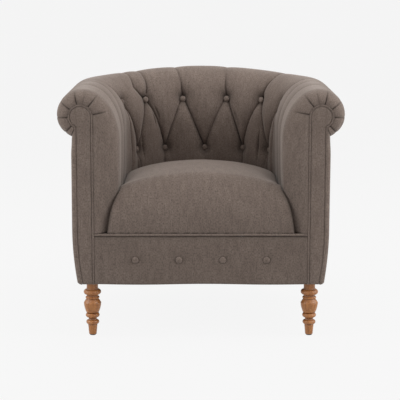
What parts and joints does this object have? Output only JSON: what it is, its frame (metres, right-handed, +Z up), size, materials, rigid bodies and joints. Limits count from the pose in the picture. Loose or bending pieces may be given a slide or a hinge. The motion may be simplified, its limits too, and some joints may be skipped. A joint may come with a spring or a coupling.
{
  "type": "tub chair",
  "caption": "upholstered tub chair with rolled arms, deep-buttoned inside back, tight crowned seat, piped arm fronts, buttoned front border and turned front legs",
  "frame": {"origin": "on the floor, under the middle of the chair's width and depth", "axes": "+Z up; the seat opens and faces -Y; +X is to the right of someone who faces the chair"},
  "size_m": [0.83, 0.7711, 0.745],
  "materials": {
    "cloth": "short-pile mushroom-brown upholstery cloth",
    "padded_cloth": "the same cloth over wadding and fibre padding",
    "piping": "cord covered in the same cloth, cut on the bias",
    "foam": "upholstery foam",
    "felt": "needled felt",
    "jute": "woven jute",
    "dust_cloth": "black non-woven cloth",
    "beech": "planed, unfinished",
    "oak": "satin lacquer, warm light oak",
    "spring_steel": "oiled spring steel",
    "zinc_steel": "zinc plated",
    "nylon": "black nylon"
  },
  "bodies": {
    "root": {"front_rail": "beech", "left_side_rail": "beech", "right_side_rail": "beech", "back_rail": "beech", "corner_blocks": "beech", "frame_dowels": "beech", "left_arm_board": "beech", "right_arm_board": "beech", "left_stiles": "beech", "right_stiles": "beech", "left_arm_rail": "beech", "right_arm_rail": "beech", "crest_rail": "beech", "left_arm_webbing": "jute", "right_arm_webbing": "jute", "back_webbing": "jute", "left_arm_foam": "foam", "right_arm_foam": "foam", "back_foam": "foam", "left_roll_core": "foam", "right_roll_core": "foam", "back_roll_core": "foam", "inside_back_cover": "padded_cloth", "left_inside_arm_cover": "padded_cloth", "right_inside_arm_cover": "padded_cloth", "back_buttons": "cloth", "left_outside_padding": "felt", "right_outside_padding": "felt", "back_outside_padding": "felt", "left_outside_arm_cover": "cloth", "right_outside_arm_cover": "cloth", "outside_back_cover": "cloth", "left_arm_facing": "cloth", "right_arm_facing": "cloth", "left_facing_piping": "piping", "right_facing_piping": "piping", "seat_springs": "spring_steel", "spring_clips": "spring_steel", "seat_hessian": "jute", "seat_foam": "foam", "seat_cover": "padded_cloth", "seat_piping": "piping", "front_border": "cloth", "border_buttons": "cloth", "dust_cover": "dust_cloth", "front_left_leg": "oak", "front_right_leg": "oak", "rear_left_leg": "oak", "rear_right_leg": "oak", "leg_plates": "zinc_steel", "leg_bolts": "zinc_steel", "leg_glides": "nylon"}
  },
  "joints": []
}
